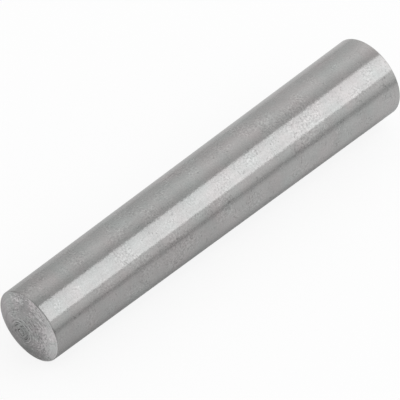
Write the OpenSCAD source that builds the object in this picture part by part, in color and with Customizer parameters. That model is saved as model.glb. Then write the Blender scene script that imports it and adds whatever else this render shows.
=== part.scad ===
// Taper pin: a plain steel pin, turned in one piece from bar.
// Its body is a slow cone, each end carries a low spherical crown, and each rim is rounded.
// The pin's axis lies along +X. The origin is on the axis in the small end's plane, where the
// cone and the small crown would meet if the rim were sharp, and the pin thickens towards +X.

/* [Cone] */
// Diameter in the small end's plane, the pin's nominal size
small_end_d = 10; // [8:0.5:16]
// Length from the small end's plane to the large end's plane, without the crowns
pin_length = 60.7; // [30:0.1:120]
// Length over which the diameter grows by one millimetre
taper_ratio = 50; // [20:1:100]

/* [Crowns] */
// How far the crown stands out of the small end's plane
small_crown_height = 1.34; // [0.6:0.01:2]
// How far the crown stands out of the large end's plane
large_crown_height = 1.57; // [0.6:0.01:2]

/* [Rims] */
// Radius that rounds the rim of the small end
small_rim_radius = 0.25; // [0.1:0.05:1]
// Radius that rounds the rim of the large end
large_rim_radius = 0.2; // [0.1:0.05:1]

/* [Hidden] */

$fn = 192;

small_end_radius = small_end_d / 2;
large_end_radius = small_end_radius + pin_length / taper_ratio / 2;
half_angle = atan(1 / taper_ratio / 2);

// How far a rim's circle stands out of the cone and the crown, so that it cuts both cleanly
hair = 0.0001;

// Unit vectors in the half section, as [distance from the axis, height along the axis]
along_cone = [sin(half_angle), cos(half_angle)];
out_of_cone = [cos(half_angle), -sin(half_angle)];

// Radius of the sphere that rises by height over a disc of the given radius
function crown_radius(disc_radius, height) = (disc_radius * disc_radius + height * height) / height / 2;

// Centre of the circle that rounds the rim between the cone and a crown.
// It lies a rim radius, less a hair, inside the cone's edge and inside the crown's sphere.
// side is -1 at the small end and +1 at the large end.
function rim_centre(corner, crown_centre, sphere_radius, rim_radius, side) =
    let (
        inset = rim_radius - hair,
        start = corner - inset * out_of_cone,
        gap = start - crown_centre,
        reach = sphere_radius - inset,
        slope = gap * along_cone,
        root = sqrt(slope * slope - gap * gap + reach * reach)
    )
    start + (side * root - slope) * along_cone;

// Half section of the pin with both rims sharp: the cone's strip, cut to the two crowns' spheres
module sharp_section(small_sphere, large_sphere) {
    bottom = -small_crown_height;
    top = pin_length + large_crown_height;
    small_centre = bottom + small_sphere;
    large_centre = top - large_sphere;
    strip = [2 * large_end_radius, top - bottom];

    function cone_radius(height) = small_end_radius + height / taper_ratio / 2;

    intersection() {
        polygon([[0, bottom], [cone_radius(bottom), bottom], [cone_radius(top), top], [0, top]]);
        union() {
            translate([0, small_centre]) circle(r = small_sphere);
            translate([0, small_centre]) square(strip);
        }
        union() {
            translate([0, large_centre]) circle(r = large_sphere);
            translate([0, large_centre - strip.y]) square(strip);
        }
    }
}

// The sliver of metal that rounding takes off one rim.
// It is what lies outside the rounding circle, between the two radii that meet the cone and the crown.
module rim_waste(centre, crown_centre, rim_radius) {
    reach = 2 * rim_radius;
    towards_crown = (centre - crown_centre) / norm(centre - crown_centre);
    bisector = (out_of_cone + towards_crown) / norm(out_of_cone + towards_crown);

    difference() {
        translate(centre)
            polygon([[0, 0], reach * out_of_cone, 2 * reach * bisector, reach * towards_crown]);
        translate(centre) circle(r = rim_radius);
    }
}

// Half section of the finished pin, axis upwards and small end down
module pin_section() {
    small_sphere = crown_radius(small_end_radius, small_crown_height);
    large_sphere = crown_radius(large_end_radius, large_crown_height);
    small_crown_centre = [0, small_sphere - small_crown_height];
    large_crown_centre = [0, pin_length + large_crown_height - large_sphere];
    small_rim_centre = rim_centre([small_end_radius, 0], small_crown_centre,
        small_sphere, small_rim_radius, -1);
    large_rim_centre = rim_centre([large_end_radius, pin_length], large_crown_centre,
        large_sphere, large_rim_radius, 1);

    difference() {
        sharp_section(small_sphere, large_sphere);
        rim_waste(small_rim_centre, small_crown_centre, small_rim_radius);
        rim_waste(large_rim_centre, large_crown_centre, large_rim_radius);
    }
}

module taper_pin() {
    color("silver")
        rotate([0, 90, 0])
            rotate_extrude() pin_section();
}

taper_pin();
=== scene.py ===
"""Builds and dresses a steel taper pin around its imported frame.

The pin is one turned solid: a slow cone with a spherical crown on each end and a rounded rim between.
It lies on a pale floor, under a long soft panel and an even sky. All lengths are in metres.
"""

import logging
import math
from collections.abc import Callable
from dataclasses import asdict, dataclass
from enum import Enum

import bpy
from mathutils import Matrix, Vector


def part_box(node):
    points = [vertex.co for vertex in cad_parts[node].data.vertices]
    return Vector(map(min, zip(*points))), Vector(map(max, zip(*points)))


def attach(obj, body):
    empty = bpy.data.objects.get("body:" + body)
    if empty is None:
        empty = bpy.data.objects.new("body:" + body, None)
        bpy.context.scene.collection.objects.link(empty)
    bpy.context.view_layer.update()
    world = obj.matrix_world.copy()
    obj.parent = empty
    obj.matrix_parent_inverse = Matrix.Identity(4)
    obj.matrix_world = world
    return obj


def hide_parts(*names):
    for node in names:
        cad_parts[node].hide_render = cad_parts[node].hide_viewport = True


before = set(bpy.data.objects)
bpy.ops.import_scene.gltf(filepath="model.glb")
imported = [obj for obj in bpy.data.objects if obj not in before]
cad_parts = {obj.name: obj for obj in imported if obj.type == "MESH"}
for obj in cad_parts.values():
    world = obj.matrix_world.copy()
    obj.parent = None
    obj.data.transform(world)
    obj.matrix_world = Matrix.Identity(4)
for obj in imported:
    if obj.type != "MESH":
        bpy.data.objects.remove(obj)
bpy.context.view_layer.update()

MM = 0.001
MICRON = 1e-6
HALF_TURN = 180.0
# Anisotropic Rotation is given in whole turns
QUARTER_TURN = 0.25
# The mesh attribute that keeps how deep a groove is, in ring depths
GROOVE = "groove"
# Points of the pin's mesh that lie closer than this are one point
WELD_DISTANCE = 0.1 * MICRON
# A noise texture lies about this level, with this standard deviation
NOISE_LEVEL = 0.5
NOISE_DEVIATION = 0.12
# An area lamp's power is its radiance times its area times this
POWER_FACTOR = 4.0
log = logging.getLogger("taper_pin")


class Tree(Enum):
    """The kinds of node tree that this file makes."""

    GEOMETRY = "GeometryNodeTree"
    SHADER = "ShaderNodeTree"


class Kind(Enum):
    """The kinds of socket that a node group shows."""

    FLOAT = "NodeSocketFloat"
    WHOLE = "NodeSocketInt"
    VECTOR = "NodeSocketVector"
    MESH = "NodeSocketGeometry"
    MATERIAL = "NodeSocketMaterial"


class End(Enum):
    """The pin's two ends, each by the first word of its inputs."""

    SMALL = "Small"
    LARGE = "Large"


class Wire:
    """One value running through a node tree, with arithmetic that adds Math nodes to the tree."""

    def __init__(self, tree: bpy.types.NodeTree, socket: bpy.types.NodeSocket) -> None:
        """Takes hold of an output socket of a node in the tree."""
        self.tree = tree
        self.socket = socket

    def math(self, operation: str, *others: "Wire | float") -> "Wire":
        """Adds a Math node that takes this value and then the others, and returns its result."""
        return add_node(self.tree, "ShaderNodeMath", (self, *others), operation=operation)

    def between(self, low: float, high: float) -> "Wire":
        """Keeps the value between two limits."""
        return self.math("MAXIMUM", low).math("MINIMUM", high)

    def __add__(self, other: "Wire | float") -> "Wire":
        """Adds the two values."""
        return self.math("ADD", other)

    def __radd__(self, other: float) -> "Wire":
        """Adds this value to a number."""
        return self.math("ADD", other)

    def __sub__(self, other: "Wire | float") -> "Wire":
        """Takes the other value from this one."""
        return self.math("SUBTRACT", other)

    def __rsub__(self, other: float) -> "Wire":
        """Takes this value from a number."""
        return self.math("MULTIPLY_ADD", -1.0, other)

    def __mul__(self, other: "Wire | float") -> "Wire":
        """Multiplies the two values."""
        return self.math("MULTIPLY", other)

    def __truediv__(self, other: "Wire | float") -> "Wire":
        """Divides this value by the other."""
        return self.math("DIVIDE", other)

    def __neg__(self) -> "Wire":
        """Turns the sign round."""
        return self.math("MULTIPLY", -1.0)


def add_node(
    tree: bpy.types.NodeTree,
    kind: str,
    values: tuple[object, ...] = (),
    output: int | str = 0,
    **settings: object,
) -> Wire:
    """Adds a node, sets it and wires up its inputs in their order.

    Args:
        tree: The tree to add it to.
        kind: The node's type.
        values: What each input gets: a Wire, a plain value, or None to leave it alone.
        output: The output to return, by its place or name.
        settings: The node's own properties.

    Returns:
        The chosen output.
    """
    node = tree.nodes.new(kind)
    for name, value in settings.items():
        setattr(node, name, value)
    for place, value in zip(node.inputs, values):
        feed(tree, place, value)
    return Wire(tree, node.outputs[output])


def feed(tree: bpy.types.NodeTree, place: bpy.types.NodeSocket, value: object) -> None:
    """Gives an input its value.

    Args:
        tree: The tree that the input's node is in.
        place: The input socket.
        value: A Wire to link, a plain value to set, or None to leave the input alone.
    """
    if isinstance(value, Wire):
        tree.links.new(value.socket, place)
    elif value is not None:
        place.default_value = value


def feed_named(tree: bpy.types.NodeTree, node: bpy.types.Node, **values: object) -> None:
    """Gives named inputs their values. Underscores stand for the spaces in an input's name."""
    for name, value in values.items():
        feed(tree, node.inputs[name.replace("_", " ")], value)


def parted(tree: bpy.types.NodeTree, place: Wire) -> tuple[Wire, Wire, Wire]:
    """Adds the node that parts a vector.

    Args:
        tree: The tree to add it to.
        place: The vector.

    Returns:
        Its X, Y and Z.
    """
    node = tree.nodes.new("ShaderNodeSeparateXYZ")
    feed(tree, node.inputs[0], place)
    x, y, z = (Wire(tree, socket) for socket in node.outputs)
    return x, y, z


class NodeGroup:
    """A node group with named inputs and outputs, built once and placed wherever it is needed."""

    def __init__(self, name: str, kind: Tree, inputs: dict[str, Kind], outputs: dict[str, Kind]) -> None:
        """Makes an empty group.

        Args:
            name: The group's name.
            kind: The kind of tree.
            inputs: The name and kind of each input.
            outputs: The name and kind of each output.
        """
        self.tree = bpy.data.node_groups.new(name, kind.value)
        self.inputs = tuple(inputs)
        for title, socket in inputs.items():
            self.tree.interface.new_socket(title, in_out="INPUT", socket_type=socket.value)
        for title, socket in outputs.items():
            self.tree.interface.new_socket(title, in_out="OUTPUT", socket_type=socket.value)
        self._entry = self.tree.nodes.new("NodeGroupInput")
        self._exit = self.tree.nodes.new("NodeGroupOutput")
        self._placer = "GeometryNodeGroup" if kind is Tree.GEOMETRY else "ShaderNodeGroup"

    def given(self, title: str) -> Wire:
        """Returns the value that comes in by a named input."""
        return Wire(self.tree, self._entry.outputs[title])

    def give(self, title: str, value: Wire) -> None:
        """Sends a value out by a named output."""
        self.tree.links.new(value.socket, self._exit.inputs[title])

    def place(self, tree: bpy.types.NodeTree, values: dict[str, object]) -> bpy.types.Node:
        """Puts this group into another tree.

        Args:
            tree: The tree that gets it.
            values: A Wire or a plain value for each named input.

        Returns:
            The group's node there.
        """
        node = tree.nodes.new(self._placer)
        node.node_tree = self.tree
        for title, value in values.items():
            feed(tree, node.inputs[title], value)
        return node


@dataclass(frozen=True)
class PinSizes:
    """The pin's driving sizes, with what follows from them."""

    small_end_diameter: float = 10.0 * MM
    length: float = 60.7 * MM
    taper_ratio: float = 50.0
    small_rim_radius: float = 0.25 * MM
    large_rim_radius: float = 0.2 * MM

    @property
    def large_end_diameter(self) -> float:
        """The diameter in the large end's plane."""
        return self.small_end_diameter + self.length / self.taper_ratio

    @property
    def half_angle(self) -> float:
        """The angle between the cone's side and its axis."""
        return math.atan(0.5 / self.taper_ratio)

    @property
    def small_crown_height(self) -> float:
        """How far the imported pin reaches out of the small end's plane."""
        low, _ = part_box("taper_pin")
        return -low[0]

    @property
    def large_crown_height(self) -> float:
        """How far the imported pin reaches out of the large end's plane."""
        _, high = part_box("taper_pin")
        return high[0] - self.length


@dataclass(frozen=True)
class FacingCut:
    """The rings that the tool left when it turned a crown.

    Attributes:
        ring_pitch: The distance from one ring to the next.
        ring_depth: The depth of a ring from cusp to hollow, which is the unit of the other depths.
        core_radius: How far the deep rings round the pole reach.
        core_depth: How much deeper the rings are at the pole, in ring depths.
        outer_depth: How deep they are away from the pole, in ring depths.
        seed: The seed of the unevenness.
    """

    ring_pitch: float = 0.26 * MM
    ring_depth: float = 5.0 * MICRON
    core_radius: float = 1.3 * MM
    core_depth: float = 5.0
    outer_depth: float = 0.4
    seed: float = 3.0


@dataclass(frozen=True)
class RingWander:
    """How unevenly the tool cut its rings.

    A rate is how quickly a noise runs and a spread is how far it strays from 1.

    Attributes:
        feed_rate: The noise in the feed, for each ring.
        feed_spread: Its spread.
        depth_rate: The noise in each ring's own depth, for each ring.
        depth_spread: Its spread.
        least_depth: The least that a ring's own depth may be.
        turn_rates: The noise round the axis, across the circle and along it.
        drift_rate: How far that noise moves on with each ring.
        turn_spread: Its spread.
        seed_step: How far the noises of two seeds lie apart.
    """

    feed_rate: float = 0.31
    feed_spread: float = 0.6
    depth_rate: float = 3.7
    depth_spread: float = 0.4
    least_depth: float = 0.2
    turn_rates: tuple[float, float] = (2.3, 3.1)
    drift_rate: float = 0.6
    turn_spread: float = 0.8
    seed_step: float = 7.0


@dataclass(frozen=True)
class MeshRows:
    """How many faces lie round the axis, over a crown, over a rim and along the cone."""

    segments: int = 256
    crown_rows: int = 170
    rim_rows: int = 12
    cone_rows: int = 12


@dataclass(frozen=True)
class SectionPoint:
    """A point of the half section.

    Attributes:
        place: Its place along the axis.
        radius: Its distance from the axis.
        groove: Its depth in ring depths, which the mesh keeps for the finish to read.
    """

    place: Wire
    radius: Wire
    groove: Wire | float = 0.0


def revolve(
    tree: bpy.types.NodeTree,
    rows: Wire,
    segments: Wire,
    section: Callable[[Wire, Wire], SectionPoint],
) -> Wire:
    """Adds the nodes that revolve a stretch of the half section about the X axis.

    Args:
        tree: The geometry tree.
        rows: How many rows of faces lie along the stretch.
        segments: How many faces lie round the axis.
        section: Given how far along the stretch a point is, from 0 to 1, and its angle about the axis,
            returns the point.

    Returns:
        The strip of mesh.
    """
    grid = tree.nodes.new("GeometryNodeMeshGrid")
    feed_named(tree, grid, Size_X=1.0, Size_Y=1.0, Vertices_X=rows + 1, Vertices_Y=segments + 1)
    # The grid is one unit wide about its middle, and half a unit more makes it run from 0 to 1
    across, around, _ = parted(tree, add_node(tree, "GeometryNodeInputPosition"))
    along = across + 0.5
    angle = (around + 0.5) * math.tau
    point = section(along, angle)
    marked = tree.nodes.new("GeometryNodeStoreNamedAttribute")
    flat = Wire(tree, grid.outputs["Mesh"])
    feed_named(tree, marked, Geometry=flat, Name=GROOVE, Value=point.groove)
    place = add_node(
        tree,
        "ShaderNodeCombineXYZ",
        (point.place, point.radius * angle.math("COSINE"), point.radius * angle.math("SINE")),
    )
    return add_node(
        tree, "GeometryNodeSetPosition", (Wire(tree, marked.outputs["Geometry"]), None, place)
    )


def joined(tree: bpy.types.NodeTree, *strips: Wire) -> Wire:
    """Adds the node that joins strips of mesh.

    Args:
        tree: The geometry tree.
        strips: The strips.

    Returns:
        One mesh.
    """
    node = tree.nodes.new("GeometryNodeJoinGeometry")
    for strip in strips:
        tree.links.new(strip.socket, node.inputs[0])
    return Wire(tree, node.outputs[0])


SHARED_INPUTS = {
    "Half Angle": Kind.FLOAT,
    "Ring Pitch": Kind.FLOAT,
    "Ring Depth": Kind.FLOAT,
    "Core Radius": Kind.FLOAT,
    "Core Depth": Kind.FLOAT,
    "Outer Depth": Kind.FLOAT,
    "Seed": Kind.FLOAT,
    "Segments": Kind.WHOLE,
    "Crown Rows": Kind.WHOLE,
    "Rim Rows": Kind.WHOLE,
}
END_INPUTS = {"End Radius": Kind.FLOAT, "Crown Height": Kind.FLOAT, "Rim Radius": Kind.FLOAT}


class PinEnd:
    """The node group that makes one end of the pin: its crown with the turned rings, and its rim.

    The end's plane is at X = 0, its crown reaches towards -X and the cone goes on towards +X.
    """

    def __init__(self, wander: RingWander) -> None:
        """Builds the group.

        Args:
            wander: How unevenly the rings are cut.
        """
        self.wander = wander
        self.group = NodeGroup(
            "pin_end",
            Tree.GEOMETRY,
            END_INPUTS | SHARED_INPUTS,
            {"Mesh": Kind.MESH, "Cone Place": Kind.FLOAT, "Cone Radius": Kind.FLOAT},
        )
        self._build()

    def _build(self) -> None:
        """Adds the crown, the rim and the place where the cone takes over."""
        given = self.group.given
        tree = self.group.tree
        radius, height, rim = given("End Radius"), given("Crown Height"), given("Rim Radius")
        sine = given("Half Angle").math("SINE")
        cosine = given("Half Angle").math("COSINE")

        sphere = (radius * radius + height * height) / height / 2.0
        crown_centre = sphere - height
        gap_along = rim * sine - crown_centre
        gap_out = radius - rim * cosine
        slope = gap_along * cosine + gap_out * sine
        reach = sphere - rim
        square = slope * slope - gap_along * gap_along - gap_out * gap_out + reach * reach
        back = square.math("SQRT") + slope
        rim_place = rim * sine - back * cosine
        rim_out = gap_out - back * sine
        meeting = rim_out.math("ARCTAN2", crown_centre - rim_place)
        level = math.pi / 2 - given("Half Angle")

        def crown(along: Wire, angle: Wire) -> SectionPoint:
            """Follows the crown, with the rings cut into it.

            Args:
                along: How far the point is from the pole, 0, to the rim, 1.
                angle: Its angle about the axis.

            Returns:
                The point.
            """
            tilt = meeting * along
            groove = self._rings(tilt * sphere, (meeting - tilt) * sphere, angle)
            cut = sphere - groove * given("Ring Depth")
            place = crown_centre - cut * tilt.math("COSINE")
            return SectionPoint(place, cut * tilt.math("SINE"), groove)

        def rounding(along: Wire, _: Wire) -> SectionPoint:
            """Follows the rim.

            Args:
                along: How far the point is from the crown, 0, to the cone, 1.

            Returns:
                The point.
            """
            tilt = meeting + (level - meeting) * along
            place = rim_place - rim * tilt.math("COSINE")
            return SectionPoint(place, rim_out + rim * tilt.math("SINE"))

        top = revolve(tree, given("Crown Rows"), given("Segments"), crown)
        edge = revolve(tree, given("Rim Rows"), given("Segments"), rounding)
        self.group.give("Mesh", joined(tree, top, edge))
        self.group.give("Cone Place", rim_place - rim * sine)
        self.group.give("Cone Radius", rim_out + rim * cosine)

    def _rings(self, distance: Wire, room: Wire, angle: Wire) -> Wire:
        """Adds the depth of the turned rings.

        Each pass of the round-nosed tool leaves a hollow between two cusps. The hollows vary a little
        in width and depth, and are deeper at the middle, where the cutting speed falls to nothing.

        Args:
            distance: The distance from the crown's pole, over the crown.
            room: The distance that is left to the rim.
            angle: The angle about the axis.

        Returns:
            The depth below the mean crown, in ring depths.
        """
        given = self.group.given
        wander = self.wander
        pitch = given("Ring Pitch")
        count = distance / pitch
        passes = count + self._uneven(count * wander.feed_rate, wander.feed_spread)
        cusp = passes.math("FRACT") * 2.0 - 1.0
        own_depth = self._uneven(passes.math("FLOOR") * wander.depth_rate, wander.depth_spread)
        own_depth = own_depth.math("MAXIMUM", wander.least_depth)
        across, along = wander.turn_rates
        turn = angle.math("SINE") * across + angle.math("COSINE") * along
        around = self._uneven(turn + count * wander.drift_rate, wander.turn_spread)
        around = around.math("MAXIMUM", 0.0)
        core = (distance / given("Core Radius")).math("POWER", 2.0)
        middle = (-core).math("EXPONENT") * given("Core Depth") + given("Outer Depth")
        fade = (room / pitch).math("MINIMUM", 1.0)
        # A hollow is a parabola, half a depth below the mean crown, and its cusps are half a depth above
        return (0.5 - cusp * cusp) * own_depth * around * middle * fade

    def _uneven(self, value: Wire, spread: float) -> Wire:
        """Adds a smooth random value about 1 that follows another value.

        Args:
            value: The value that it follows.
            spread: How far it strays from 1.

        Returns:
            The random value.
        """
        tree = self.group.tree
        lane = self.group.given("Seed") * self.wander.seed_step
        noise = tree.nodes.new("ShaderNodeTexNoise")
        noise.noise_dimensions = "2D"
        place = add_node(tree, "ShaderNodeCombineXYZ", (value, lane, 0.0))
        feed_named(tree, noise, Vector=place, Scale=1.0, Detail=1.0)
        return (Wire(tree, noise.outputs[0]) - NOISE_LEVEL) * (spread / NOISE_DEVIATION) + 1.0


class PinBody:
    """The node group that makes the whole pin: its two ends and the cone between them."""

    # A face that leans towards an end by more degrees than this, as at a rim's middle, is on the crown
    CROWN_LEAN = 45.0

    def __init__(self, end: PinEnd) -> None:
        """Builds the group.

        Args:
            end: The group that makes an end.
        """
        own_inputs = {f"{which.value} {title}": kind for which in End for title, kind in END_INPUTS.items()}
        self.group = NodeGroup(
            "turned_pin",
            Tree.GEOMETRY,
            own_inputs
            | SHARED_INPUTS
            | {
                "Length": Kind.FLOAT,
                "Cone Rows": Kind.WHOLE,
                "Ground Steel": Kind.MATERIAL,
                "Faced Steel": Kind.MATERIAL,
            },
            {"Mesh": Kind.MESH},
        )
        self._build(end)

    def _build(self, end: PinEnd) -> None:
        """Joins the two ends and the cone into one closed mesh, and gives each face its finish.

        Args:
            end: The group that makes an end.
        """
        given = self.group.given
        tree = self.group.tree
        length = given("Length")
        small = self._place_end(end, End.SMALL, given("Half Angle"), given("Seed"))
        large = self._place_end(end, End.LARGE, -given("Half Angle"), given("Seed") + 1.0)
        turned_round = tree.nodes.new("GeometryNodeTransform")
        feed_named(
            tree,
            turned_round,
            Geometry=Wire(tree, large.outputs["Mesh"]),
            Translation=add_node(tree, "ShaderNodeCombineXYZ", (length, 0.0, 0.0)),
            Rotation=(0.0, 0.0, math.pi),
        )

        first = Wire(tree, small.outputs["Cone Place"])
        last = length - Wire(tree, large.outputs["Cone Place"])
        first_out = Wire(tree, small.outputs["Cone Radius"])
        last_out = Wire(tree, large.outputs["Cone Radius"])

        def cone(along: Wire, _: Wire) -> SectionPoint:
            """Returns the cone's point at a share of the way from the small rim to the large one."""
            return SectionPoint(first + (last - first) * along, first_out + (last_out - first_out) * along)

        side = revolve(tree, given("Cone Rows"), given("Segments"), cone)
        strips = joined(tree, Wire(tree, small.outputs["Mesh"]), Wire(tree, turned_round.outputs[0]), side)
        closed = tree.nodes.new("GeometryNodeMergeByDistance")
        feed_named(tree, closed, Geometry=strips, Distance=WELD_DISTANCE)
        smooth = add_node(tree, "GeometryNodeSetShadeSmooth", (Wire(tree, closed.outputs[0]),))
        whole = add_node(tree, "GeometryNodeRealizeInstances", (smooth,))
        ground = add_node(tree, "GeometryNodeSetMaterial", (whole, True, given("Ground Steel")))
        x, _, _ = parted(tree, add_node(tree, "GeometryNodeInputNormal"))
        on_a_crown = x.math("ABSOLUTE").math("GREATER_THAN", math.sin(math.radians(self.CROWN_LEAN)))
        faced = add_node(tree, "GeometryNodeSetMaterial", (ground, on_a_crown, given("Faced Steel")))
        self.group.give("Mesh", faced)

    def _place_end(self, end: PinEnd, which: End, half_angle: Wire, seed: Wire) -> bpy.types.Node:
        """Puts the group of one end into the tree.

        Args:
            end: The group that makes an end.
            which: The end.
            half_angle: How steeply the pin thickens from this end on.
            seed: The seed of its rings.

        Returns:
            The group's node.
        """
        given = self.group.given
        values = {title: given(title) for title in SHARED_INPUTS}
        values |= {title: given(f"{which.value} {title}") for title in END_INPUTS}
        values |= {"Half Angle": half_angle, "Seed": seed}
        return end.group.place(self.group.tree, values)


class Effect:
    """A shader group that makes its marks from noise, at a place on the piece in millimetres."""

    def __init__(self, name: str, inputs: dict[str, Kind], outputs: tuple[str, ...]) -> None:
        """Makes the group with its inputs and outputs, and an input Vector for the place before them."""
        inputs = {"Vector": Kind.VECTOR} | inputs
        self.group = NodeGroup(name, Tree.SHADER, inputs, dict.fromkeys(outputs, Kind.FLOAT))

    def noise(self, where: Wire) -> Wire:
        """Adds a noise with a grain of one unit.

        Args:
            where: The place to read it at.

        Returns:
            The noise, spread evenly about 0.
        """
        noise = self.group.tree.nodes.new("ShaderNodeTexNoise")
        feed_named(self.group.tree, noise, Vector=where, Scale=1.0, Detail=2.0, Roughness=0.55)
        return Wire(self.group.tree, noise.outputs[0]) - NOISE_LEVEL

    def even_noise(self, size: str, shift: float = 0.0) -> Wire:
        """Adds a noise that is alike in all directions.

        Args:
            size: The input that says how large its grain is.
            shift: How far it is moved, so that two noises of one size don't fall together.

        Returns:
            The noise.
        """
        tree, given = self.group.tree, self.group.given
        scaled = (given("Vector"), None, None, given(size).math("POWER", -1.0))
        units = add_node(tree, "ShaderNodeVectorMath", scaled, operation="SCALE")
        moved = (units, (shift, shift, shift))
        return self.noise(add_node(tree, "ShaderNodeVectorMath", moved, operation="ADD"))

    def round_noise(self, width: str) -> Wire:
        """Adds a noise whose marks run round the X axis, longer than wide by the input Stretch.

        Args:
            width: The input that says how wide they are.

        Returns:
            The noise.
        """
        tree, given = self.group.tree, self.group.given
        x, y, z = parted(tree, given("Vector"))
        slow = given(width) * given("Stretch")
        quick = (x + self.from_the_axis()) / given(width)
        return self.noise(add_node(tree, "ShaderNodeCombineXYZ", (quick, y / slow, z / slow)))

    def from_the_axis(self) -> Wire:
        """Returns how far the place is from the X axis."""
        _, y, z = parted(self.group.tree, self.group.given("Vector"))
        return (y * y + z * z).math("SQRT")


class TurningLines(Effect):
    """The fine lines that a tool or a wheel leaves round a turned face."""

    def __init__(self) -> None:
        """Builds the group."""
        super().__init__("turning_lines", {"Spacing": Kind.FLOAT, "Stretch": Kind.FLOAT}, ("Height",))
        self.group.give("Height", self.round_noise("Spacing"))


class SteelGrain(Effect):
    """The fine grain of bright steel, whose shade is stronger in patches."""

    PATCH_SHIFT = 84.0
    PATCH_CONTRAST = 8.0
    WEAKEST = 0.30
    SHADE_SHIFT = 60.0

    def __init__(self) -> None:
        """Builds the group."""
        super().__init__("steel_grain", {"Size": Kind.FLOAT, "Patch": Kind.FLOAT}, ("Height", "Shade"))
        patches = self.even_noise("Patch", self.PATCH_SHIFT) * self.PATCH_CONTRAST
        strength = (patches + self.WEAKEST).between(self.WEAKEST, 1.0)
        self.group.give("Height", self.even_noise("Size"))
        self.group.give("Shade", self.even_noise("Size", self.SHADE_SHIFT) * strength)


class Mottle(Effect):
    """The broad faint clouds in the colour of handled steel."""

    WARM_SHIFT = 40.0

    def __init__(self) -> None:
        """Builds the group."""
        super().__init__("mottle", {"Size": Kind.FLOAT}, ("Light", "Warm"))
        self.group.give("Light", self.even_noise("Size"))
        self.group.give("Warm", self.even_noise("Size", self.WARM_SHIFT))


class FlecksAndGlints(Effect):
    """Small separate spots that gather on one side of the axis, and outwards: dark pits, or painted glints
    where they lighten the steel.
    """

    SPOT_WEIGHT = 2.5
    CLUSTER_WEIGHT = 1.5
    CLUSTER_SHIFT = 20.0
    SHARPNESS = 4.0

    def __init__(self) -> None:
        """Builds the group."""
        numbers = dict.fromkeys(("Size", "Stretch", "Cluster", "Share", "Outward"), Kind.FLOAT)
        super().__init__("flecks", numbers | {"Side": Kind.VECTOR}, ("FleckOrGlint",))
        given = self.group.given
        towards = (given("Vector"), given("Side"))
        sided = add_node(
            self.group.tree, "ShaderNodeVectorMath", towards, "Value", operation="DOT_PRODUCT"
        )
        level = self.round_noise("Size") * self.SPOT_WEIGHT
        level = level + self.even_noise("Cluster", self.CLUSTER_SHIFT) * self.CLUSTER_WEIGHT
        level = level + sided + self.from_the_axis() * given("Outward") + given("Share")
        self.group.give("FleckOrGlint", (level * self.SHARPNESS).between(0.0, 1.0))


@dataclass(frozen=True)
class Effects:
    """The shader groups that both finishes use."""

    lines: TurningLines
    grain: SteelGrain
    mottle: Mottle
    flecks: FlecksAndGlints


class Marks:
    """What one effect gets in one finish. Each of its inputs takes the field of the same name."""

    def add(self, tree: bpy.types.NodeTree, effect: Effect, place: Wire) -> bpy.types.Node:
        """Puts the effect's group into a material.

        Args:
            tree: The material's node tree.
            effect: The effect.
            place: The place on the piece, in millimetres.

        Returns:
            The group's node.
        """
        _, *titles = effect.group.inputs
        values = {title: getattr(self, title.lower()) for title in titles}
        return effect.group.place(tree, {"Vector": place, **values})


@dataclass(frozen=True)
class LineMarks(Marks):
    """Turning lines: their spacing in millimetres, length in spacings, height in microns and shade."""

    spacing: float
    stretch: float
    height: float
    shade: float


@dataclass(frozen=True)
class GrainMarks(Marks):
    """Grain: its size and the size of its patches in millimetres, its height in microns and shade."""

    size: float
    patch: float
    height: float
    shade: float


@dataclass(frozen=True)
class CloudMarks(Marks):
    """Clouds in the colour: their size in millimetres and shade."""

    size: float
    shade: float


@dataclass(frozen=True)
class FleckAndGlintMarks(Marks):
    """Spots, whose share grows towards one side and outwards: dark pits, or painted glints where they
    lighten the steel.

    Attributes:
        size: Their width in millimetres.
        stretch: Their length in widths.
        cluster: The size of a cluster of them in millimetres.
        share: How many of them show at the axis.
        shade: How much lighter they make the steel.
        side: How much the share grows in each millimetre towards a side.
        outward: How much it grows in each millimetre away from the axis.
    """

    size: float
    stretch: float
    cluster: float
    share: float
    shade: float
    side: tuple[float, float, float] = (0.0, 0.0, 0.0)
    outward: float = 0.0


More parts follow.
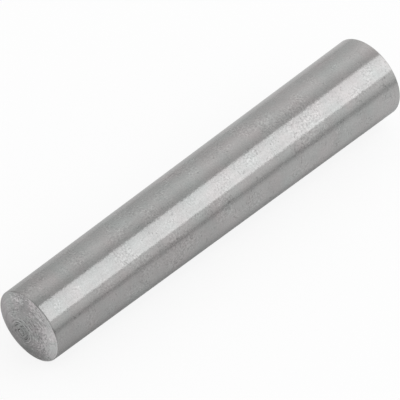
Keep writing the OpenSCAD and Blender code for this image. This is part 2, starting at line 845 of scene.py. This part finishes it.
@dataclass(frozen=True)
class SteelFinish:
    """A machined steel surface. A shade is how much lighter its mark makes the steel.

    Attributes:
        name: The material's name.
        cool_colour: The steel's colour where it is coolest.
        warm_colour: Its colour where it is warmest.
        edge_tint: How much light it throws back at a grazing angle.
        roughness: Its roughness.
        anisotropy: How far its reflections are drawn out across its turning lines.
        lines: Its turning lines.
        grain: Its grain.
        clouds: The clouds in its colour.
        flecks: Its dark pits, or its painted glints.
        groove_shade: The shade of a groove one ring depth deep.
        darkest: The least that all shades together leave of the colour.
        warmth: How strongly the clouds move the colour from halfway between cool and warm.
    """

    name: str
    cool_colour: tuple[float, float, float, float]
    warm_colour: tuple[float, float, float, float]
    edge_tint: float
    roughness: float
    anisotropy: float
    lines: LineMarks
    grain: GrainMarks
    clouds: CloudMarks
    flecks: FleckAndGlintMarks
    groove_shade: float
    darkest: float = 0.20
    warmth: float = 2.0

    def make(self, effects: Effects) -> bpy.types.Material:
        """Builds the material.

        Args:
            effects: The shared shader groups.

        Returns:
            The material.
        """
        material = bpy.data.materials.new(self.name)
        material.use_nodes = True
        tree = material.node_tree
        tree.nodes.clear()
        colour, relief = self._marked(tree, effects)
        bump = tree.nodes.new("ShaderNodeBump")
        feed_named(tree, bump, Strength=1.0, Distance=1.0, Height=relief)
        steel = tree.nodes.new("ShaderNodeBsdfPrincipled")
        feed_named(
            tree,
            steel,
            Base_Color=colour,
            Metallic=1.0,
            Roughness=self.roughness,
            Specular_Tint=(self.edge_tint, self.edge_tint, self.edge_tint, 1.0),
            Anisotropic=self.anisotropy,
            Anisotropic_Rotation=QUARTER_TURN,
            Normal=Wire(tree, bump.outputs[0]),
            Tangent=add_node(tree, "ShaderNodeTangent", direction_type="RADIAL", axis="X"),
        )
        shown = tree.nodes.new("ShaderNodeOutputMaterial")
        tree.links.new(steel.outputs[0], shown.inputs["Surface"])
        return material

    def _marked(self, tree: bpy.types.NodeTree, effects: Effects) -> tuple[Wire, Wire]:
        """Adds the shared groups with this finish's values, and sums up what they do.

        Args:
            tree: The material's node tree.
            effects: The shared shader groups.

        Returns:
            The steel's colour, and its relief in metres.
        """
        metres = add_node(tree, "ShaderNodeTexCoord", output="Object")
        mapping = tree.nodes.new("ShaderNodeMapping")
        feed_named(tree, mapping, Vector=metres, Scale=(1.0 / MM, 1.0 / MM, 1.0 / MM))
        place = Wire(tree, mapping.outputs[0])
        lines = self.lines.add(tree, effects.lines, place)
        grain = self.grain.add(tree, effects.grain, place)
        mottle = self.clouds.add(tree, effects.mottle, place)
        flecks = self.flecks.add(tree, effects.flecks, place)
        groove = tree.nodes.new("ShaderNodeAttribute")
        groove.attribute_name = GROOVE

        line = Wire(tree, lines.outputs["Height"])
        shade = 1.0 + line * self.lines.shade
        shade = shade + Wire(tree, grain.outputs["Shade"]) * self.grain.shade
        shade = shade + Wire(tree, mottle.outputs["Light"]) * self.clouds.shade
        # The spots darken the steel as pits; where their shade is positive, they are painted glints
        shade = shade + Wire(tree, flecks.outputs["FleckOrGlint"]) * self.flecks.shade
        shade = shade + Wire(tree, groove.outputs["Fac"]) * self.groove_shade
        warm = Wire(tree, mottle.outputs["Warm"]) * self.warmth + 0.5
        colour = self._colour(tree, warm, shade.math("MAXIMUM", self.darkest))

        relief = line * (self.lines.height * MICRON)
        relief = relief + Wire(tree, grain.outputs["Height"]) * (self.grain.height * MICRON)
        return colour, relief

    def _colour(self, tree: bpy.types.NodeTree, warm: Wire, shade: Wire) -> Wire:
        """Adds the nodes that mix the steel's colour.

        Args:
            tree: The material's node tree.
            warm: How far the colour is from the cool one to the warm one.
            shade: How light it is.

        Returns:
            The colour.
        """
        mix = tree.nodes.new("ShaderNodeMix")
        mix.data_type = "RGBA"
        first, second = (socket for socket in mix.inputs if socket.type == "RGBA")
        feed(tree, mix.inputs["Factor"], warm)
        feed(tree, first, self.cool_colour)
        feed(tree, second, self.warm_colour)
        mixed = next(socket for socket in mix.outputs if socket.type == "RGBA")
        scaled = (Wire(tree, mixed), None, None, shade)
        return add_node(tree, "ShaderNodeVectorMath", scaled, operation="SCALE")


GROUND_STEEL = SteelFinish(
    name="ground_steel",
    cool_colour=(0.326, 0.336, 0.330, 1.0),
    warm_colour=(0.354, 0.337, 0.334, 1.0),
    edge_tint=0.78,
    roughness=0.20,
    anisotropy=1.0,
    lines=LineMarks(spacing=0.09, stretch=40.0, height=0.4, shade=0.08),
    grain=GrainMarks(size=0.25, patch=3.2, height=8.0, shade=1.0),
    clouds=CloudMarks(size=3.4, shade=0.24),
    flecks=FleckAndGlintMarks(
        size=0.24, stretch=1.5, cluster=2.0, share=-0.54, shade=-0.24, side=(0.0, -0.04, 0.0)
    ),
    groove_shade=0.0,
)
FACED_STEEL = SteelFinish(
    name="faced_steel",
    cool_colour=(0.402, 0.417, 0.408, 1.0),
    warm_colour=(0.444, 0.417, 0.424, 1.0),
    edge_tint=0.72,
    roughness=0.34,
    anisotropy=0.8,
    lines=LineMarks(spacing=0.14, stretch=8.0, height=0.8, shade=0.25),
    grain=GrainMarks(size=0.25, patch=2.2, height=3.0, shade=1.3),
    clouds=CloudMarks(size=2.0, shade=0.3),
    # Painted glints: light spots gathered towards -Y and outwards, where the crown's turning marks catch
    # the light
    flecks=FleckAndGlintMarks(
        size=0.19,
        stretch=1.8,
        cluster=1.6,
        share=-0.64,
        shade=0.54,
        side=(0.0, -0.10, 0.015),
        outward=0.13,
    ),
    groove_shade=-0.56,
)


def titled(values: FacingCut | MeshRows) -> dict[str, float | int]:
    """Returns the values' fields by the titles of the inputs that take them."""
    return {name.replace("_", " ").title(): value for name, value in asdict(values).items()}


@dataclass(frozen=True)
class TaperPin:
    """The pin itself, one piece of steel."""

    sizes: PinSizes = PinSizes()
    facing: FacingCut = FacingCut()
    wander: RingWander = RingWander()
    rows: MeshRows = MeshRows()
    cone_finish: SteelFinish = GROUND_STEEL
    crown_finish: SteelFinish = FACED_STEEL
    node: str = "taper_pin"

    def build(self) -> bpy.types.Object:
        """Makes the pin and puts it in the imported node's place.

        Returns:
            The finished piece.
        """
        pin = bpy.data.objects.new("turned_pin", self._turn())
        bpy.context.scene.collection.objects.link(pin)
        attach(pin, "root")
        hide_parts(self.node)
        return pin

    def dress(self) -> dict[str, bpy.types.Material]:
        """Makes the pin's finishes.

        Returns:
            Each finish, by the input of the pin's node group that takes it.
        """
        effects = Effects(TurningLines(), SteelGrain(), Mottle(), FlecksAndGlints())
        return {
            "Ground Steel": self.cone_finish.make(effects),
            "Faced Steel": self.crown_finish.make(effects),
        }

    def _turn(self) -> bpy.types.Mesh:
        """Runs the pin's node group once.

        Returns:
            The plain mesh that it makes, with its finishes on it.
        """
        tree = PinBody(PinEnd(self.wander)).group.tree
        carrier = bpy.data.objects.new("pin_carrier", bpy.data.meshes.new("pin_carrier"))
        bpy.context.scene.collection.objects.link(carrier)
        modifier = carrier.modifiers.new("turned_pin", "NODES")
        modifier.node_group = tree
        values = self._measures() | self.dress()
        for item in tree.interface.items_tree:
            if item.in_out == "INPUT":
                modifier[item.identifier] = values[item.name]

        graph = bpy.context.evaluated_depsgraph_get()
        mesh = bpy.data.meshes.new_from_object(carrier.evaluated_get(graph), depsgraph=graph)
        carrier.modifiers.clear()
        bpy.data.objects.remove(carrier)
        mesh.name = "turned_pin"
        return mesh

    def _measures(self) -> dict[str, float | int]:
        """Gathers the pin's measures.

        Returns:
            Each measure, by the input of the pin's node group that takes it.
        """
        sizes = self.sizes
        return {
            "Small End Radius": sizes.small_end_diameter / 2.0,
            "Large End Radius": sizes.large_end_diameter / 2.0,
            "Length": sizes.length,
            "Half Angle": sizes.half_angle,
            "Small Crown Height": sizes.small_crown_height,
            "Large Crown Height": sizes.large_crown_height,
            "Small Rim Radius": sizes.small_rim_radius,
            "Large Rim Radius": sizes.large_rim_radius,
            **titled(self.facing),
            **titled(self.rows),
        }


@dataclass(frozen=True)
class Stand:
    """Where a lamp or the camera stands.

    Attributes:
        aim: The point that it faces.
        bearing: Its angle round Z from -Y towards +X, seen from that point, in degrees.
        elevation: Its angle above the floor, in degrees.
        distance: Its distance from the point.
    """

    aim: tuple[float, float, float]
    bearing: float
    elevation: float
    distance: float

    def hold(self, item: bpy.types.Object) -> None:
        """Puts a lamp or the camera there, and adds it to the scene.

        Args:
            item: The lamp or camera.
        """
        around, above = math.radians(self.bearing), math.radians(self.elevation)
        away = Vector(
            (math.sin(around) * math.cos(above), -math.cos(around) * math.cos(above), math.sin(above))
        )
        item.location = Vector(self.aim) + away * self.distance
        item.rotation_euler = away.to_track_quat("Z", "Y").to_euler()
        bpy.context.scene.collection.objects.link(item)


@dataclass(frozen=True)
class SoftPanel:
    """A large flat lamp with an even face: its place, width, height, radiance and colour."""

    stand: Stand
    width: float
    height: float
    radiance: float
    colour: tuple[float, float, float] = (0.975, 0.985, 1.0)
    name: str = "key_panel"

    def build(self) -> bpy.types.Object:
        """Hangs the panel.

        Returns:
            The lamp.
        """
        data = bpy.data.lights.new(self.name, "AREA")
        data.shape = "RECTANGLE"
        data.size = self.width
        data.size_y = self.height
        data.color = self.colour
        data.energy = self.radiance * POWER_FACTOR * self.width * self.height
        lamp = bpy.data.objects.new(self.name, data)
        self.stand.hold(lamp)
        return lamp


@dataclass(frozen=True)
class Floor:
    """A pale floor that looks white, with a painted pool of light round the pin that the steel mirrors.

    Part of it shines by itself, as seen by the camera or in the steel, so that the shadow is soft. As the
    steel mirrors it, a painted shadow dims the glow under the pin.

    Attributes:
        size: The length of its sides.
        colour: How much light the matt floor throws back.
        seen_glow: The share of it that shines, as the camera sees it.
        mirrored_glow: The share of it that shines, as the steel mirrors it.
        contact_reach: The distances from the pin's line over which the mirrored share grows to full, out of
            the painted shadow under the pin.
        contact_glow: How much of the mirrored share is left under the pin, in the painted shadow.
        contact_stretch: How many times further this painted shadow reaches past the pin's ends.
        pool_level: The painted pool of light's brightness at the origin.
        pool_slope: How much brighter it gets in each metre along the pin.
        pool_centre: The pool's middle.
        pool_radius: The distance from its middle within which it is full.
        pool_reach: The distance from its middle at which it has faded.
        pool_edge: How much of it is left there.
    """

    size: float = 3.0
    colour: float = 0.85
    seen_glow: float = 0.86
    mirrored_glow: float = 0.65
    contact_reach: tuple[float, float] = (3.8 * MM, 8.4 * MM)
    contact_glow: float = 0.08
    contact_stretch: float = 2.5
    pool_level: float = 1.05
    pool_slope: float = 4.6
    pool_centre: tuple[float, float, float] = (0.06, 0.055, 0.0)
    pool_radius: float = 0.04
    pool_reach: float = 0.20
    pool_edge: float = 0.50

    def build(self, sizes: PinSizes) -> bpy.types.Object:
        """Lays the floor against the cone's lowest side, so that the pin rests on its whole length.

        Args:
            sizes: The pin's sizes, which the floor's height and tilt follow.

        Returns:
            The floor.
        """
        half = self.size / 2.0
        slope = math.tan(sizes.half_angle)
        corners = [
            (x, y, -sizes.small_end_diameter / 2.0 - slope * x)
            for x, y in ((-half, -half), (half, -half), (half, half), (-half, half))
        ]
        mesh = bpy.data.meshes.new("floor")
        mesh.from_pydata(corners, [], [(0, 1, 2, 3)])
        floor = bpy.data.objects.new("floor", mesh)
        bpy.context.scene.collection.objects.link(floor)
        mesh.materials.append(self._finish(sizes.length))
        return floor

    def _finish(self, length: float) -> bpy.types.Material:
        """Makes the floor's material.

        Args:
            length: The pin's length.

        Returns:
            The material.
        """
        material = bpy.data.materials.new("pale_floor")
        material.use_nodes = True
        tree = material.node_tree
        tree.nodes.clear()
        place = add_node(tree, "ShaderNodeTexCoord", output="Object")
        x, y, _ = parted(tree, place)
        away = add_node(
            tree, "ShaderNodeVectorMath", (place, self.pool_centre), "Value", operation="DISTANCE"
        )
        # Painted pool of light: full round its middle, fading outwards, and brighter along the pin
        fade = self._smooth(tree, away, (self.pool_radius, self.pool_reach), (1.0, self.pool_edge))
        pool = fade * (x * self.pool_slope + self.pool_level)
        # Painted shadow under the pin, reaching further past its ends
        past_an_end = (x - x.between(0.0, length)) / self.contact_stretch
        beside = (past_an_end * past_an_end + y * y).math("SQRT")
        painted_shadow_under_pin = self._smooth(tree, beside, self.contact_reach, (self.contact_glow, 1.0))

        path = tree.nodes.new("ShaderNodeLightPath")
        seen = Wire(tree, path.outputs["Is Camera Ray"])
        mirrored = Wire(tree, path.outputs["Is Glossy Ray"])
        mirrored = mirrored.math("MAXIMUM", Wire(tree, path.outputs["Is Transmission Ray"]))
        # The steel mirrors the glow dimmed by the painted shadow under the pin
        glow = seen * self.seen_glow + mirrored * painted_shadow_under_pin * self.mirrored_glow
        matt = tree.nodes.new("ShaderNodeBsdfDiffuse")
        # Away from the camera, the matt colour fades with the painted pool of light
        feed(tree, matt.inputs["Color"], fade.math("MAXIMUM", seen) * self.colour)
        shining = tree.nodes.new("ShaderNodeEmission")
        # As the steel mirrors it, the glow's colour is the painted pool of light
        feed(tree, shining.inputs["Color"], seen + mirrored * pool)
        mixed = tree.nodes.new("ShaderNodeMixShader")
        feed(tree, mixed.inputs[0], glow)
        tree.links.new(matt.outputs[0], mixed.inputs[1])
        tree.links.new(shining.outputs[0], mixed.inputs[2])
        shown = tree.nodes.new("ShaderNodeOutputMaterial")
        tree.links.new(mixed.outputs[0], shown.inputs["Surface"])
        return material

    @staticmethod
    def _smooth(
        tree: bpy.types.NodeTree, value: Wire, span: tuple[float, float], levels: tuple[float, float]
    ) -> Wire:
        """Adds a smooth change from one level to another.

        Args:
            tree: The floor's node tree.
            value: The value that the level follows.
            span: The values at which the change starts and ends.
            levels: The levels before and after it.

        Returns:
            The level.
        """
        node = tree.nodes.new("ShaderNodeMapRange")
        node.interpolation_type = "SMOOTHSTEP"
        first, last = span
        low, high = levels
        feed_named(tree, node, Value=value, From_Min=first, From_Max=last, To_Min=low, To_Max=high)
        return Wire(tree, node.outputs[0])


@dataclass(frozen=True)
class Sky:
    """An even pale sky, dimmer at the horizon and overhead, and brighter beyond the large end.

    Attributes:
        stops: Angles round the pin's axis in degrees, each with the sky's level there. They go from the
            horizon at -Y, over the top at 90, to the horizon at +Y.
        top: A level above all others, because the colour ramp holds nothing above 1.
        slope: How much brighter the sky gets towards +X.
        even_at: How far towards +X, from 0 to 1, the levels are as the stops say.
        rise_limits: The least and the most that the slope makes of a level.
    """

    stops: tuple[tuple[float, float], ...] = (
        (0.0, 0.54),
        (8.0, 1.02),
        (23.0, 1.26),
        (45.0, 0.96),
        (57.0, 1.10),
        (80.0, 0.84),
        (96.0, 0.86),
        (118.0, 1.20),
        (130.0, 1.25),
        (150.0, 1.06),
        (165.0, 0.98),
        (180.0, 1.05),
    )
    top: float = 1.4
    slope: float = 1.8
    even_at: float = 0.5
    rise_limits: tuple[float, float] = (0.75, 1.3)

    def build(self) -> bpy.types.World:
        """Surrounds the scene with the sky.

        Returns:
            The world.
        """
        world = bpy.data.worlds.new("soft_sky")
        bpy.context.scene.world = world
        world.use_nodes = True
        tree = world.node_tree
        x, y, z = parted(tree, add_node(tree, "ShaderNodeTexCoord", output="Generated"))
        ramp = tree.nodes.new("ShaderNodeValToRGB")
        self._set_stops(ramp.color_ramp.elements)
        feed(tree, ramp.inputs[0], z.math("ARCTAN2", -y) / math.pi)
        rise = ((x - self.even_at) * self.slope + 1.0).between(*self.rise_limits)
        level = Wire(tree, ramp.outputs[0]) * rise * self.top
        feed_named(tree, tree.nodes["Background"], Color=(1.0, 1.0, 1.0, 1.0), Strength=level)
        return world

    def _set_stops(self, elements: bpy.types.ColorRampElements) -> None:
        """Gives a colour ramp the sky's stops.

        Args:
            elements: The ramp's elements.
        """
        while len(elements) < len(self.stops):
            elements.new(0.5)
        for element, (angle, level) in zip(elements, self.stops):
            element.position = angle / HALF_TURN
            element.color = (level / self.top, level / self.top, level / self.top, 1.0)


@dataclass(frozen=True)
class Viewpoint:
    """The camera: its place, its lens and sensor in millimetres, and the distance from which it sees."""

    stand: Stand
    lens: float = 344.06
    sensor_width: float = 36.0
    clip_start: float = 10.0 * MM

    def build(self) -> bpy.types.Object:
        """Puts the camera in its place.

        Returns:
            The camera.
        """
        data = bpy.data.cameras.new("camera")
        data.lens = self.lens
        data.sensor_width = self.sensor_width
        data.sensor_fit = "HORIZONTAL"
        data.clip_start = self.clip_start
        camera = bpy.data.objects.new("camera", data)
        self.stand.hold(camera)
        bpy.context.scene.camera = camera
        return camera


@dataclass(frozen=True)
class Studio:
    """Everything round the pin: the floor, the light and the camera that sees its small end."""

    floor: Floor = Floor()
    key: SoftPanel = SoftPanel(
        stand=Stand(aim=(0.525, 0.0, 0.0), bearing=0.0, elevation=58.1, distance=0.62),
        width=0.95,
        height=0.60,
        radiance=0.86,
    )
    sky: Sky = Sky()
    viewpoint: Viewpoint = Viewpoint(
        Stand(
            aim=(30.37 * MM, 0.66 * MM, -0.90 * MM), bearing=-46.08, elevation=45.28, distance=476.7 * MM
        )
    )

    def build(self, sizes: PinSizes) -> None:
        """Sets up everything round the pin.

        Args:
            sizes: The pin's sizes, which the floor follows.
        """
        for item in (self.floor.build(sizes), self.key.build(), self.sky.build(), self.viewpoint.build()):
            log.info("%s: in place", item.name)
        bpy.context.scene.view_settings.view_transform = "Standard"


def main() -> None:
    """Builds the pin and the studio, and reports each piece."""
    logging.basicConfig(level=logging.INFO, format="%(name)s: %(message)s")
    pin = TaperPin()
    piece = pin.build()
    log.info("%s: %d faces", piece.name, len(piece.data.polygons))
    Studio().build(pin.sizes)


if __name__ == "__main__":
    main()
